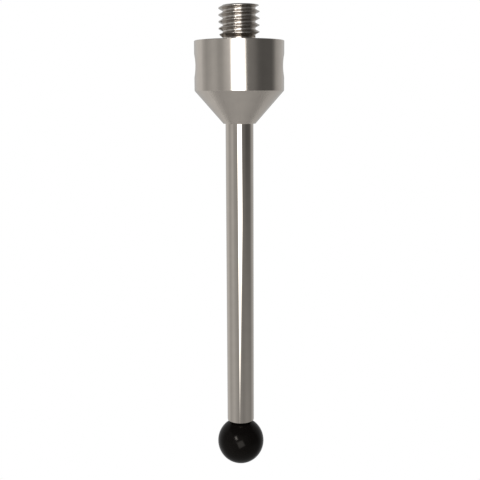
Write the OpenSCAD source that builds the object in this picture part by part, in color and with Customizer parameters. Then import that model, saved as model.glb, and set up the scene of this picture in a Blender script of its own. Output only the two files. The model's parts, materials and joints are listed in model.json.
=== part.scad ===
// Straight stylus for a coordinate measuring machine: a turned holder with a
// screw stud, a ground shaft bonded into it, and a drilled ball on the shaft's tip.
// The origin is the centre of the face that the holder seats on, with the stud
// pointing up and the ball hanging below. Millimetres.

/* [Stud] */
// Outer diameter of the screw stud
stud_d = 5; // [4:0.5:7]
// Length of the stud above the seat face
stud_len = 4.2; // [3:0.1:9]
// Lead-in chamfer on the stud's end
stud_chamfer = 0.1; // [0.1:0.05:0.6]
// Depth of the relief at the stud's foot, where the thread runs out
relief_depth = 0.5; // [0.2:0.05:0.8]
// Length of the relief's straight neck
relief_len = 0.35; // [0.1:0.05:0.6]
// Width of the recess in the seat face around the stud, which keeps the seat clear of the thread
recess_w = 0.15; // [0.1:0.05:0.5]
// Depth of that recess
recess_depth = 0.15; // [0.05:0.05:0.4]

/* [Body] */
// Diameter of the holder's body
body_d = 11; // [9:0.5:16]
// Length of the straight body
body_len = 6; // [5.5:0.25:10]
// Edge break around the seat face
edge_break = 0.05; // [0.05:0.05:0.4]
// Diameter of the cross hole that takes a tightening pin
cross_hole_d = 3; // [1.5:0.1:3.2]

/* [Cone] */
// Length of the cone from the body down to the shaft
cone_len = 4; // [3:0.25:8]
// Wall left around the shaft at the cone's small end
lip = 0.25; // [0.15:0.05:0.8]

/* [Shaft] */
// Diameter of the shaft
shaft_d = 3.45; // [2.5:0.05:5]
// Chamfer on both ends of the shaft
shaft_chamfer = 0.1; // [0.05:0.05:0.3]
// Metal left between the cross hole and the shaft's socket
web = 1; // [0.5:0.1:1.2]
// Diameter of the spigot that carries the ball
spigot_d = 1.5; // [1:0.1:2]
// Length of the spigot below the shaft's shoulder
spigot_len = 2.3; // [1.5:0.1:3]

/* [Ball] */
// Diameter of the ball
ball_d = 6; // [5:0.5:10]
// Reach from the seat face to the ball's centre
reach = 51.5; // [30:0.5:90]

/* [Fits] */
// Adhesive gap around the shaft in its socket and the spigot in the ball
bond_gap = 0.02; // [0.01:0.01:0.05]
// Room for adhesive below the spigot's end
end_gap = 0.2; // [0.1:0.05:0.4]

/* [Hidden] */
$fn = 96;

// Length by which a cutter overshoots the face that it cuts
cut_over = 1;

stud_r = stud_d / 2;
neck_r = stud_r - relief_depth;
recess_r = stud_r + recess_w;
body_r = body_d / 2;
shaft_r = shaft_d / 2;
ball_r = ball_d / 2;

// Holder: the socket's floor stops a web's thickness short of the cross hole
socket_r = shaft_r + bond_gap;
cone_end_r = socket_r + lip;
cone_end_z = -body_len - cone_len;
cross_hole_z = -body_len / 2;
socket_floor_z = cross_hole_z - cross_hole_d / 2 - web;

// Ball: the shaft's shoulder seats on the edge of the ball's hole
spigot_r = spigot_d / 2;
ball_hole_r = spigot_r + bond_gap;
shoulder_z = sqrt(pow(ball_r, 2) - pow(ball_hole_r, 2)) - reach;
spigot_end_z = shoulder_z - spigot_len;
ball_hole_end_z = spigot_end_z - end_gap;

// Half section of the holder before drilling, as [radius, height]
holder_section = [
    [0, stud_len],
    [stud_r - stud_chamfer, stud_len],
    [stud_r, stud_len - stud_chamfer],
    [stud_r, relief_len + relief_depth],
    [neck_r, relief_len],
    [neck_r, -recess_depth],
    [recess_r, -recess_depth],
    [recess_r, 0],
    [body_r - edge_break, 0],
    [body_r, -edge_break],
    [body_r, -body_len],
    [cone_end_r, cone_end_z],
    [0, cone_end_z]
];

// Half section of the shaft with its spigot, as [radius, height]
shaft_section = [
    [0, socket_floor_z],
    [shaft_r - shaft_chamfer, socket_floor_z],
    [shaft_r, socket_floor_z - shaft_chamfer],
    [shaft_r, shoulder_z + shaft_chamfer],
    [shaft_r - shaft_chamfer, shoulder_z],
    [spigot_r, shoulder_z],
    [spigot_r, spigot_end_z],
    [0, spigot_end_z]
];

module shaft_socket() {
    translate([0, 0, cone_end_z - cut_over])
        cylinder(r = socket_r, h = socket_floor_z - cone_end_z + cut_over);
}

module cross_hole() {
    translate([0, 0, cross_hole_z])
        rotate([0, 90, 0])
            cylinder(d = cross_hole_d, h = body_d + 2 * cut_over, center = true);
}

module holder() {
    color([0.58, 0.56, 0.53])
        difference() {
            rotate_extrude() polygon(holder_section);
            shaft_socket();
            cross_hole();
        }
}

module shaft() {
    color([0.53, 0.51, 0.48])
        rotate_extrude() polygon(shaft_section);
}

module ball() {
    color([0.06, 0.06, 0.06])
        difference() {
            translate([0, 0, -reach]) sphere(r = ball_r);
            translate([0, 0, ball_hole_end_z])
                cylinder(r = ball_hole_r, h = ball_r - reach - ball_hole_end_z + cut_over);
        }
}

holder();
shaft();
ball();
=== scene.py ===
"""Looks of a straight stylus for a coordinate measuring machine.

A turned holder with a threaded stud, a ground shaft and a drilled black ball.
Metres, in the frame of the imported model: the origin is the centre of the seat
face, +Z runs along the stud and +X along the cross hole.
"""

import json
import math

import bmesh
import bpy
from mathutils import Matrix, Vector


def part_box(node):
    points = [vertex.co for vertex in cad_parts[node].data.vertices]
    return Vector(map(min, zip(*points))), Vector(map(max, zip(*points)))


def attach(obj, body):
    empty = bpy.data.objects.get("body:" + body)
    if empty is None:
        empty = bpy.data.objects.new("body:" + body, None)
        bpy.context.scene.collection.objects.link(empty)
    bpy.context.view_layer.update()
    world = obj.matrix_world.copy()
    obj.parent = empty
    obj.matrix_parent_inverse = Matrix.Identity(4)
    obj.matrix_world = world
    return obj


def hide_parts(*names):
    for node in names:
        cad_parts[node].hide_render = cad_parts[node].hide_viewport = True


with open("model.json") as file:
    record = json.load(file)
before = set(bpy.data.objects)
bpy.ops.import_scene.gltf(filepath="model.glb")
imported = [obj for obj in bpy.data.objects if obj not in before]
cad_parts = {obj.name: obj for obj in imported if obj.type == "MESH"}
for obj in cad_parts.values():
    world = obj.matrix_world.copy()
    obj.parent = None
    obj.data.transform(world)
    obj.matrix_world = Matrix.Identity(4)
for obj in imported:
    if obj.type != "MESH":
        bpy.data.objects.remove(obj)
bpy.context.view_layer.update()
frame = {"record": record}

MM = 0.001
TURN = 2 * math.pi

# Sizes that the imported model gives
holder_low, holder_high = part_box("holder")
shaft_low, shaft_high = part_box("shaft")
ball_low, ball_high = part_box("ball")
mounts = {mount["name"]: mount for mount in frame["record"]["mounts"]}

STUD_R = mounts["stud"]["dims"]["r_mm"] * MM
STUD_END_Z = holder_high.z
BODY_R = holder_high.x
HOLE_R = mounts["cross_hole"]["dims"]["r_mm"] * MM
HOLE_Z = mounts["cross_hole"]["pos_m"][2]
BODY_END_Z = 2 * HOLE_Z
CONE_END_Z = holder_low.z
SHAFT_R = shaft_high.x
SOCKET_FLOOR_Z = shaft_high.z
SPIGOT_END_Z = shaft_low.z
BALL_R = ball_high.x
BALL_Z = ball_low.z + BALL_R

# Sizes of the solids that their boxes don't give
STUD_CHAMFER = 0.1 * MM
NECK_R = 2.0 * MM
RECESS_R = 2.65 * MM
RECESS_Z = -0.15 * MM
EDGE_BREAK = 0.05 * MM
BOND_GAP = 0.02 * MM
LIP = 0.25 * MM
SHAFT_CHAMFER = 0.1 * MM
SPIGOT_R = 0.75 * MM
END_GAP = 0.2 * MM
SOCKET_R = SHAFT_R + BOND_GAP
CONE_END_R = SOCKET_R + LIP
BALL_HOLE_R = SPIGOT_R + BOND_GAP
SHOULDER_Z = BALL_Z + math.sqrt(BALL_R ** 2 - BALL_HOLE_R ** 2)

# Thread: right-hand, with a narrow crest and a rounded root. While the last groove's
# middle falls from one height to another, its lower flank opens into the relief, and
# then it runs out; the relief's cone widens from the neck to the crest
PITCH = 0.8 * MM
CREST_Z = 0.24 * MM
CREST_HALF = 0.04 * MM
CREST_EASE = 0.03 * MM
ROOT_HALF = 0.095 * MM
ROOT_EASE = 0.09 * MM
OPENING_Z = (0.9 * MM, 0.7 * MM)
RUNOUT_Z = (0.62 * MM, 0.5 * MM)
RELIEF_Z = (0.35 * MM, 0.78 * MM)
BLEND = 0.02 * MM
THREAD_ROWS = 16

# Fineness of the meshes
STEPS = 192
EASE_STEPS = 5
SUPPORT = 0.012 * MM
WELD = 0.0001 * MM
ON_AXIS = 0.001 * MM
SHARP_ANGLE = math.radians(30)

# Metals: the tones that clouds run between, the roughness that the marks run between,
# and how fine the marks are; the thread's tone is multiplied by a cooler tint
STEEL = {
    "dark": (0.501, 0.458, 0.411, 1),
    "light": (0.523, 0.479, 0.429, 1),
    "roughness": (0.11, 0.15),
    "fineness": 20000.0,
}
CARBIDE = {
    "dark": (0.489, 0.448, 0.401, 1),
    "light": (0.511, 0.468, 0.419, 1),
    "roughness": (0.02, 0.04),
    "fineness": 40000.0,
}
FACED_ROUGHNESS = 0.5
THREAD_ROUGHNESS = 0.2
THREAD_TINT = (0.93, 0.95, 0.98, 1)
CLOUD_SCALE = 900.0
CLOUD_SPAN = (0.35, 0.65)
MARK_SPAN = (0.3, 0.7)
MARK_STRENGTH = 0.004
MARK_DEPTH = 0.01 * MM
ANISOTROPY = 0.7
QUARTER_TURN = 0.25

# Ceramic: its grain runs between two tones and between two degrees of roughness
CERAMIC_DARK = (0.002, 0.0017, 0.0015, 1)
CERAMIC_LIGHT = (0.006, 0.005, 0.0045, 1)
CERAMIC_ROUGHNESS = (0.1, 0.14)
CERAMIC_IOR = 1.16
CERAMIC_TINT = (1, 0.93, 0.85, 1)
GRAIN_SCALE = 6000.0
GRAIN_SPAN = (0.3, 0.7)

# Tone of the studio above the horizon, at it and twenty degrees below it, where it
# falls to the table: degrees from the camera's side towards the right, level
STUDIO = (
    [(-180, 0.49), (-162, 0.55), (-150, 0.71), (-131, 0.82), (-113, 0.83), (-103, 0.6), (-92, 0.47),
     (-70, 0.59), (-61, 0.55), (-53, 0.44), (-44, 0.48), (-36, 0.67), (-26, 0.8), (0, 0.53), (20, 0.31),
     (36, 0.26), (50, 0.15), (60, 0.13), (90, 0.14), (98, 0.23), (108, 0.48), (125, 0.62),
     (146, 0.69), (162, 0.55), (180, 0.49)],
    [(-180, 0.49), (-162, 0.55), (-150, 0.69), (-131, 0.79), (-114, 0.8), (-102, 0.65), (-90, 0.54),
     (-66, 0.71), (-58, 0.69), (-48, 0.51), (-30, 0.48), (0, 0.36), (25, 0.26),
     (42, 0.22), (52, 0.15), (62, 0.13), (92, 0.15), (106, 0.36), (119, 0.61),
     (146, 0.65), (162, 0.55), (180, 0.49)],
    [(-180, 0.49), (-162, 0.59), (-139, 0.74), (-117, 0.77), (-103, 0.63), (-91, 0.55),
     (-66, 0.66), (-54, 0.69), (-37, 0.57), (-19, 0.47), (8, 0.39), (25, 0.34),
     (54, 0.41), (75, 0.39), (99, 0.34), (114, 0.5), (134, 0.62), (162, 0.59), (180, 0.49)],
)
CEILING = (0.09, 0.09, 0.09, 1)
WHITE = (1, 1, 1, 1)

# Where one tone of the studio gives way to the next, as the sine of the elevation
HORIZON = (0.03, -0.05)
TABLE_FALL = (-0.05, -0.35)
CEILING_RISE = (0.58, 0.74)

# Lamps: the light falls off towards the edges, over a share of the width
SOFTBOX = {
    "place": (-0.002, -0.6, -0.038),
    "target": (-0.002, 0, -0.038),
    "size": (0.407, 0.407),
    "turn": math.radians(26),
    "power": 2.46,
    "fade": 0.2,
}
SPOT = {
    "place": (-0.244, -0.485, 0.25),
    "target": (0, 0, BALL_Z),
    "size": (0.15, 0.26),
    "turn": math.radians(35),
    "power": 3.6,
    "fade": 0.5,
}

# Table: it fades out from half its radius and is white in part to the camera. It also carries a painted
# pool of light that only the metal sees: a little glow, strongest at its middle and weaker out to where
# it starts to fade
FLOOR_Z = -0.2
FLOOR_R = 0.2
FLOOR_FADE_R = 0.5 * FLOOR_R
FLOOR_DARK = (0.84, 0.84, 0.84, 1)
FLOOR_LIGHT = (0.9, 0.9, 0.9, 1)
FLOOR_GRAIN = 60.0
FLOOR_WHITE = 0.75
# Painted glow that only the metal sees: at the table's middle, and from where it starts to fade
FLOOR_PAINTED_GLOW = (0.2, 0.08)

# Camera, from a pinhole fitted to the photograph's edges
PHOTO_PIXELS = 480
FOCAL_PIXELS = 839.4
SENSOR_MM = 36
CAMERA_Y = -104.9 * MM
CAMERA_Z = -6.27 * MM
CAMERA_PITCH = math.radians(-9.934)
CAMERA_ROLL = math.radians(-0.25)
NEAREST = 1 * MM


def eased(section):
    """Rounds the corners of a section of (radius, height, rounding) points."""
    points = []
    for i, (radius, height, ease) in enumerate(section):
        here = Vector((radius, height))
        if not ease:
            points.append(here)
            continue
        back = (Vector(section[i - 1][:2]) - here).normalized()
        ahead = (Vector(section[i + 1][:2]) - here).normalized()
        half = back.angle(ahead) / 2
        run = ease / math.tan(half)
        centre = here + (back + ahead).normalized() * ease / math.sin(half)
        first = here + back * run - centre
        sweep = math.copysign(math.pi - 2 * half, back.cross(ahead))
        points.append(here + back * (run + SUPPORT))
        for step in range(EASE_STEPS + 1):
            points.append(centre + Matrix.Rotation(-sweep * step / EASE_STEPS, 2) @ first)
        points.append(here + ahead * (run + SUPPORT))
    return points


def around(radius, share, height):
    """A point at a radius and height, a share of a turn round from +X."""
    return (radius * math.cos(TURN * share), radius * math.sin(TURN * share), height)


def lathe(mesh, section):
    """Turns (radius, height) points about the axis; a point on the axis closes the form."""
    rings = []
    for radius, height in section:
        count = 1 if radius < ON_AXIS else STEPS
        rings.append([mesh.verts.new(around(radius, i / STEPS, height)) for i in range(count)])
    for upper, lower in zip(rings, rings[1:]):
        for i in range(STEPS):
            places = ((upper, i), (upper, i + 1), (lower, i + 1), (lower, i))
            corners = [ring[k % len(ring)] for ring, k in places]
            mesh.faces.new(dict.fromkeys(corners))


def thread_form():
    """Section of the thread's groove from crest to crest, as (radius, height) points."""
    return eased([
        (STUD_R, 0, 0),
        (STUD_R, CREST_HALF, CREST_EASE),
        (NECK_R, PITCH / 2 - ROOT_HALF, ROOT_EASE),
        (NECK_R, PITCH / 2 + ROOT_HALF, ROOT_EASE),
        (STUD_R, PITCH - CREST_HALF, CREST_EASE),
        (STUD_R, PITCH, 0),
    ])


def fallen(height, span):
    """Share of the way that a height has come down a span from its first to its second end."""
    return min(max((span[0] - height) / (span[0] - span[1]), 0), 1)


def thread_radius(form, height, share):
    """Radius of the thread at a height, a share of a turn round."""
    groove = math.floor((height - CREST_Z) / PITCH - share)
    start = CREST_Z + PITCH * (groove + share)
    above = height - start
    pairs = zip(form, form[1:])
    low, high = next(pair for pair in pairs if above <= pair[1].y or pair[1] is form[-1])
    radius = low.x + (high.x - low.x) * (above - low.y) / (high.y - low.y)
    middle = start + PITCH / 2
    if height < middle:
        radius += (NECK_R - radius) * fallen(middle, OPENING_Z)
    return radius + (STUD_R - radius) * fallen(middle, RUNOUT_Z)


def stud_limit(height):
    """Largest radius that the relief at the foot and the chamfer at the end leave."""
    foot, top = RELIEF_Z
    relief = NECK_R + (STUD_R - NECK_R) * (height - foot) / (top - foot)
    chamfer = STUD_R - STUD_CHAMFER + STUD_END_Z - height
    return min(relief, chamfer)


def stud_radius(form, height, share):
    """Radius of the stud where the thread blends into the relief and the chamfer."""
    thread, limit = thread_radius(form, height, share), stud_limit(height)
    lesser = (thread + limit - math.hypot(thread - limit, BLEND)) / 2
    return max(lesser, NECK_R)


def threaded_stud(mesh):
    """The stud from the neck up to its end, with rows that follow the helix."""
    foot = RELIEF_Z[0]
    first = math.floor((foot - CREST_Z) / PITCH) - 1
    last = math.ceil((STUD_END_Z - CREST_Z) / PITCH)
    form = thread_form()
    even = [PITCH * i / THREAD_ROWS for i in range(1, THREAD_ROWS)]
    turn = sorted([point.y for point in form[:-1]] + even)
    rows = [PITCH * whole + part for whole in range(first, last) for part in turn]
    columns = []
    for i in range(STEPS + 1):
        share = i / STEPS
        column = []
        for row in rows:
            height = min(max(CREST_Z + PITCH * share + row, foot), STUD_END_Z)
            column.append(mesh.verts.new(around(stud_radius(form, height, share), share, height)))
        columns.append(column)
    for left, right in zip(columns, columns[1:]):
        for j in range(len(rows) - 1):
            mesh.faces.new((left[j], right[j], right[j + 1], left[j + 1]))
    bmesh.ops.remove_doubles(mesh, verts=mesh.verts, dist=WELD)
    rim = [e for e in mesh.edges if e.is_boundary and min(v.co.z for v in e.verts) > STUD_END_Z / 2]
    centre = mesh.verts.new((0, 0, STUD_END_Z))
    for edge in rim:
        mesh.faces.new((*edge.verts, centre))


def new_object(name, mesh):
    """Makes an object of a bmesh, with its faces turned outwards."""
    bmesh.ops.recalc_face_normals(mesh, faces=mesh.faces)
    data = bpy.data.meshes.new(name)
    mesh.to_mesh(data)
    mesh.free()
    piece = bpy.data.objects.new(name, data)
    bpy.context.scene.collection.objects.link(piece)
    return piece


def drill(piece):
    """Cuts the cross hole through the body, along X."""
    tool = bmesh.new()
    bmesh.ops.create_cone(
        tool, cap_ends=True, segments=STEPS, radius1=HOLE_R, radius2=HOLE_R, depth=3 * BODY_R,
        matrix=Matrix.Translation((0, 0, HOLE_Z)) @ Matrix.Rotation(TURN / 4, 4, "Y"))
    cutter = new_object("drill", tool)
    cut = piece.modifiers.new("cross hole", "BOOLEAN")
    cut.object = cutter
    cut.operation = "DIFFERENCE"
    cut.solver = "EXACT"
    drilled = piece.evaluated_get(bpy.context.evaluated_depsgraph_get())
    mesh = bpy.data.meshes.new_from_object(drilled)
    piece.modifiers.clear()
    piece.data = mesh
    bpy.data.objects.remove(cutter)


def shade(mesh):
    """Smooth shading, broken at sharp edges, true on the body's wall and in the cross hole."""
    mesh.polygons.foreach_set("use_smooth", [True] * len(mesh.polygons))
    mesh.set_sharp_from_angle(angle=SHARP_ANGLE)
    normals = [corner.vector.copy() for corner in mesh.corner_normals]
    for face in mesh.polygons:
        corners = [mesh.vertices[i].co for i in face.vertices]
        if all(abs(c.xy.length - BODY_R) < WELD for c in corners):
            found = [Vector((c.x, c.y, 0)) for c in corners]
        elif all(abs(math.hypot(c.y, c.z - HOLE_Z) - HOLE_R) < WELD for c in corners):
            found = [Vector((0, -c.y, HOLE_Z - c.z)) for c in corners]
        else:
            continue
        for loop, normal in zip(face.loop_indices, found):
            normals[loop] = normal.normalized()
    mesh.normals_split_custom_set(normals)


def make_holder():
    """The stud, the recessed seat, the body, the cone and the socket, with the hole drilled."""
    mesh = bmesh.new()
    threaded_stud(mesh)
    edge = EDGE_BREAK / 2
    fine = EDGE_BREAK / 4
    lathe(mesh, eased([
        (NECK_R, RELIEF_Z[0], 0),
        (NECK_R, RELIEF_Z[0] - SUPPORT, 0),
        (NECK_R, RECESS_Z, 0),
        (RECESS_R, RECESS_Z, 0),
        (RECESS_R, 0, edge),
        (BODY_R - EDGE_BREAK, 0, fine),
        (BODY_R, -EDGE_BREAK, fine),
        (BODY_R, BODY_END_Z, edge),
        (CONE_END_R, CONE_END_Z, edge),
        (SOCKET_R, CONE_END_Z, edge),
        (SOCKET_R, SOCKET_FLOOR_Z, 0),
        (0, SOCKET_FLOOR_Z, 0),
    ]))
    bmesh.ops.remove_doubles(mesh, verts=mesh.verts, dist=WELD)
    piece = new_object("holder_turned", mesh)
    drill(piece)
    shade(piece.data)
    return piece


def make_shaft():
    """The shaft from its socket's floor down to the spigot's end."""
    mesh = bmesh.new()
    edge = SHAFT_CHAMFER / 3
    lathe(mesh, eased([
        (0, SOCKET_FLOOR_Z, 0),
        (SHAFT_R - SHAFT_CHAMFER, SOCKET_FLOOR_Z, edge),
        (SHAFT_R, SOCKET_FLOOR_Z - SHAFT_CHAMFER, edge),
        (SHAFT_R, SHOULDER_Z + SHAFT_CHAMFER, edge),
        (SHAFT_R - SHAFT_CHAMFER, SHOULDER_Z, edge),
        (SPIGOT_R, SHOULDER_Z, 0),
        (SPIGOT_R, SPIGOT_END_Z, edge),
        (0, SPIGOT_END_Z, 0),
    ]))
    piece = new_object("shaft_ground", mesh)
    shade(piece.data)
    return piece


def make_ball():
    """The ball with its blind hole."""
    mesh = bmesh.new()
    hole_end = SPIGOT_END_Z - END_GAP
    top = math.acos(BALL_HOLE_R / BALL_R)
    rows = STEPS // 2
    lift = [top - (top + TURN / 4) * i / rows for i in range(rows)]
    section = [(0, hole_end), (BALL_HOLE_R, hole_end)]
    section += [(BALL_R * math.cos(a), BALL_Z + BALL_R * math.sin(a)) for a in lift]
    section += [(0, BALL_Z - BALL_R)]
    lathe(mesh, section)
    piece = new_object("ball_ground", mesh)
    shade(piece.data)
    return piece


def add(tree, kind, inputs=None, **settings):
    """Adds a node; an input is a value or another node's output."""
    made = tree.nodes.new(kind)
    for name, value in settings.items():
        setattr(made, name, value)
    for key, value in (inputs or {}).items():
        if isinstance(value, bpy.types.NodeSocket):
            tree.links.new(value, made.inputs[key])
        else:
            made.inputs[key].default_value = value
    return made


def math_node(tree, operation, first, second=0.0):
    """One step of arithmetic on numbers or outputs."""
    return add(tree, "ShaderNodeMath", {0: first, 1: second}, operation=operation).outputs[0]


def mapped(tree, value, source, target=(0.0, 1.0)):
    """A value moved from one span to another, and held at its ends."""
    inputs = {0: value, 1: source[0], 2: source[1], 3: target[0], 4: target[1]}
    return add(tree, "ShaderNodeMapRange", inputs).outputs[0]


def noise(tree, place, scale, detail=2.0):
    """Noise between nought and one over a place."""
    inputs = {"Vector": place, "Scale": scale, "Detail": detail}
    return add(tree, "ShaderNodeTexNoise", inputs).outputs["Fac"]


def blend_colors(tree, share, first, second, blend="MIX"):
    """A colour blended with another; 6, 7 and 2 are the Mix node's sockets for colours."""
    inputs = {0: share, 6: first, 7: second}
    return add(tree, "ShaderNodeMix", inputs, data_type="RGBA", blend_type=blend).outputs[2]


def ramp(tree, share, stops):
    """A grey ramp over (place, level) stops."""
    made = add(tree, "ShaderNodeValToRGB", {0: share})
    points = made.color_ramp.elements
    while len(points) < len(stops):
        points.new(0.5)
    for point, (place, level) in zip(points, stops):
        point.position = place
    for point, (place, level) in zip(points, stops):
        point.color = (level, level, level, 1)
    return made.outputs["Color"]


def new_material(name):
    """A material with its node tree and its shader."""
    material = bpy.data.materials.new(name)
    material.use_nodes = True
    tree = material.node_tree
    return material, tree, tree.nodes["Principled BSDF"]


def least_roughness(tree, radius, height, on_thread):
    """Roughness of the seat face and the stud's end, and of the thread; nought elsewhere."""
    outside = math_node(tree, "GREATER_THAN", radius, RECESS_R)
    above = math_node(tree, "GREATER_THAN", height, -SUPPORT)
    on_seat = math_node(tree, "MULTIPLY", outside, above)
    on_end = math_node(tree, "GREATER_THAN", height, STUD_END_Z - SUPPORT)
    on_face = math_node(tree, "MAXIMUM", on_seat, on_end)
    faced = math_node(tree, "MULTIPLY", on_face, FACED_ROUGHNESS)
    threaded = math_node(tree, "MULTIPLY", on_thread, THREAD_ROUGHNESS)
    return math_node(tree, "MAXIMUM", faced, threaded)


def metal(name, dark, light, roughness, fineness):
    """Bare metal with fine marks round the axis and a slight clouding, coarser on faces and thread."""
    material, tree, shader = new_material(name)
    place = add(tree, "ShaderNodeTexCoord").outputs["Object"]
    split = add(tree, "ShaderNodeSeparateXYZ", {0: place}).outputs
    across = math_node(tree, "MULTIPLY", split["X"], split["X"])
    along = math_node(tree, "MULTIPLY", split["Y"], split["Y"])
    radius = math_node(tree, "SQRT", math_node(tree, "ADD", across, along))
    ring = add(tree, "ShaderNodeCombineXYZ", {"X": radius, "Z": split["Z"]}).outputs[0]
    marks = noise(tree, ring, fineness, 3.0)
    cloud = mapped(tree, noise(tree, place, CLOUD_SCALE, 4.0), CLOUD_SPAN)
    tone = blend_colors(tree, cloud, dark, light)
    on_thread = math_node(tree, "GREATER_THAN", split["Z"], RELIEF_Z[0])
    tinted = blend_colors(tree, on_thread, tone, THREAD_TINT, "MULTIPLY")
    tree.links.new(tinted, shader.inputs["Base Color"])
    turned = mapped(tree, marks, MARK_SPAN, roughness)
    coarse = least_roughness(tree, radius, split["Z"], on_thread)
    finish = math_node(tree, "MAXIMUM", turned, coarse)
    tree.links.new(finish, shader.inputs["Roughness"])
    relief = {"Height": marks, "Strength": MARK_STRENGTH, "Distance": MARK_DEPTH}
    tree.links.new(add(tree, "ShaderNodeBump", relief).outputs[0], shader.inputs["Normal"])
    lay = add(tree, "ShaderNodeTangent", direction_type="RADIAL", axis="Z")
    tree.links.new(lay.outputs[0], shader.inputs["Tangent"])
    shader.inputs["Anisotropic"].default_value = ANISOTROPY
    shader.inputs["Anisotropic Rotation"].default_value = QUARTER_TURN
    shader.inputs["Metallic"].default_value = 1
    return material


def ceramic(name):
    """Polished black ceramic with a faint grain."""
    material, tree, shader = new_material(name)
    place = add(tree, "ShaderNodeTexCoord").outputs["Object"]
    grain = noise(tree, place, GRAIN_SCALE, 5.0)
    tone = blend_colors(tree, grain, CERAMIC_DARK, CERAMIC_LIGHT)
    tree.links.new(tone, shader.inputs["Base Color"])
    tree.links.new(mapped(tree, grain, GRAIN_SPAN, CERAMIC_ROUGHNESS), shader.inputs["Roughness"])
    shader.inputs["IOR"].default_value = CERAMIC_IOR
    shader.inputs["Specular Tint"].default_value = CERAMIC_TINT
    return material


def pale_table(name):
    """Matt and pale, in part white to the camera, with a painted pool of light that only the metal
    sees, and clear towards the rim.
    """
    material, tree, shader = new_material(name)
    tree.nodes.remove(shader)
    place = add(tree, "ShaderNodeTexCoord").outputs["Object"]
    tone = blend_colors(tree, noise(tree, place, FLOOR_GRAIN), FLOOR_DARK, FLOOR_LIGHT)
    matt = add(tree, "ShaderNodeBsdfDiffuse", {"Color": tone}).outputs[0]
    white = add(tree, "ShaderNodeEmission", {"Color": WHITE, "Strength": 1.0}).outputs[0]
    flat = add(tree, "ShaderNodeVectorMath", {0: place, 1: (1, 1, 0)}, operation="MULTIPLY").outputs[0]
    reach = add(tree, "ShaderNodeVectorMath", {0: flat}, operation="LENGTH").outputs["Value"]
    path = add(tree, "ShaderNodeLightPath").outputs
    seen = math_node(tree, "MULTIPLY", path["Is Camera Ray"], FLOOR_WHITE)
    # Painted pool of light: emission that only reflection rays see, brightest at the table's middle
    painted_glow = mapped(tree, reach, (0.0, FLOOR_FADE_R), FLOOR_PAINTED_GLOW)
    glow_seen_in_metal = math_node(tree, "MULTIPLY", path["Is Glossy Ray"], painted_glow)
    direct = math_node(tree, "ADD", seen, glow_seen_in_metal)
    lit = add(tree, "ShaderNodeMixShader", {0: direct, 1: matt, 2: white}).outputs[0]
    fade = mapped(tree, reach, (FLOOR_FADE_R, FLOOR_R))
    clear = add(tree, "ShaderNodeBsdfTransparent").outputs[0]
    whole = add(tree, "ShaderNodeMixShader", {0: fade, 1: lit, 2: clear}).outputs[0]
    tree.links.new(whole, tree.nodes["Material Output"].inputs["Surface"])
    return material


def make_floor():
    """A round table well below the ball, which fades out into the white studio."""
    mesh = bmesh.new()
    bmesh.ops.create_circle(mesh, cap_ends=True, segments=STEPS, radius=FLOOR_R,
                            matrix=Matrix.Translation((0, 0, FLOOR_Z)))
    floor = new_object("floor", mesh)
    floor.data.materials.append(pale_table("pale_table"))


def make_world():
    """White for the camera; for the metal, a studio that is dark at the right front."""
    world = bpy.data.worlds.new("studio")
    bpy.context.scene.world = world
    world.use_nodes = True
    tree = world.node_tree
    tree.nodes.clear()
    place = add(tree, "ShaderNodeTexCoord").outputs["Generated"]
    split = add(tree, "ShaderNodeSeparateXYZ", {0: place}).outputs
    toward = math_node(tree, "MULTIPLY", split["Y"], -1.0)
    azimuth = math_node(tree, "ARCTAN2", split["X"], toward)
    share = mapped(tree, azimuth, (-math.pi, math.pi))
    bands = [[((degrees + 180) / 360, level) for degrees, level in band] for band in STUDIO]
    upper, middle, lower = (ramp(tree, share, band) for band in bands)
    level = blend_colors(tree, mapped(tree, split["Z"], HORIZON), upper, middle)
    sides = blend_colors(tree, mapped(tree, split["Z"], TABLE_FALL), level, lower)
    surround = blend_colors(tree, mapped(tree, split["Z"], CEILING_RISE), sides, CEILING)
    path = add(tree, "ShaderNodeLightPath").outputs
    direct = math_node(tree, "MAXIMUM", path["Is Camera Ray"], path["Is Transmission Ray"])
    seen = blend_colors(tree, direct, surround, WHITE)
    shader = add(tree, "ShaderNodeBackground", {"Color": seen, "Strength": 1.0})
    add(tree, "ShaderNodeOutputWorld", {"Surface": shader.outputs[0]})


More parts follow.
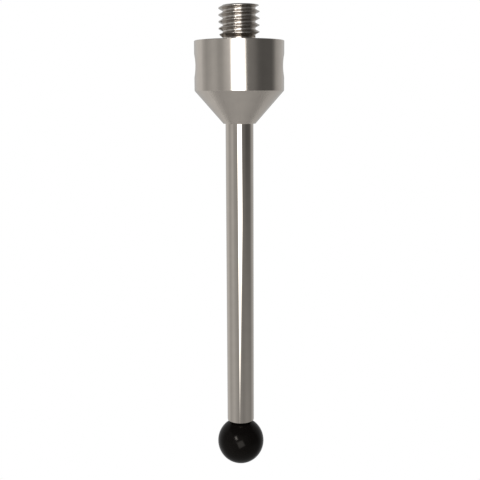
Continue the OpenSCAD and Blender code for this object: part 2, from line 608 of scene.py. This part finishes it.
def soften(light, fade):
    """Lets a lamp's light fall off over a share of its width, towards its edges."""
    light.use_nodes = True
    tree = light.node_tree
    place = add(tree, "ShaderNodeNewGeometry").outputs["Parametric"]
    split = add(tree, "ShaderNodeSeparateXYZ", {0: place}).outputs
    across = math_node(tree, "ABSOLUTE", math_node(tree, "SUBTRACT", split["X"], 0.5))
    along = math_node(tree, "ABSOLUTE", math_node(tree, "SUBTRACT", split["Y"], 0.5))
    off = math_node(tree, "MAXIMUM", across, along)
    level = mapped(tree, off, (0.5 - fade, 0.5), (1.0, 0.0))
    tree.links.new(level, tree.nodes["Emission"].inputs["Strength"])


def make_lamp(name, place, target, size, turn, power, fade):
    """A flat oblong lamp that faces a target, turned about its own axis."""
    light = bpy.data.lights.new(name, "AREA")
    light.shape = "RECTANGLE"
    light.size, light.size_y = size
    light.energy = power
    soften(light, fade)
    lamp = bpy.data.objects.new(name, light)
    ahead = Vector(target) - Vector(place)
    facing = ahead.to_track_quat("-Z", "Y").to_matrix().to_4x4()
    lamp.matrix_world = Matrix.Translation(place) @ facing @ Matrix.Rotation(turn, 4, "Z")
    bpy.context.scene.collection.objects.link(lamp)


def make_camera():
    """The camera where the photograph's was."""
    lens = bpy.data.cameras.new("camera")
    lens.sensor_width = SENSOR_MM
    lens.lens = SENSOR_MM * FOCAL_PIXELS / PHOTO_PIXELS
    lens.clip_start = NEAREST
    camera = bpy.data.objects.new("camera", lens)
    level = Matrix.Rotation(TURN / 4 + CAMERA_PITCH, 4, "X")
    camera.matrix_world = (
        Matrix.Translation((0, CAMERA_Y, CAMERA_Z)) @ level @ Matrix.Rotation(CAMERA_ROLL, 4, "Z"))
    bpy.context.scene.collection.objects.link(camera)
    bpy.context.scene.camera = camera


def dress(piece, node, material):
    """Puts a piece in the place of its solid, with its material."""
    piece.data.materials.clear()
    piece.data.materials.append(material)
    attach(piece, "root")
    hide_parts(node)


make_camera()
make_world()
make_floor()
make_lamp("softbox", **SOFTBOX)
make_lamp("spot", **SPOT)

dress(make_holder(), "holder", metal("turned_steel", **STEEL))
dress(make_shaft(), "shaft", metal("ground_carbide", **CARBIDE))
dress(make_ball(), "ball", ceramic("black_ceramic"))

bpy.context.scene.view_settings.view_transform = "Standard"
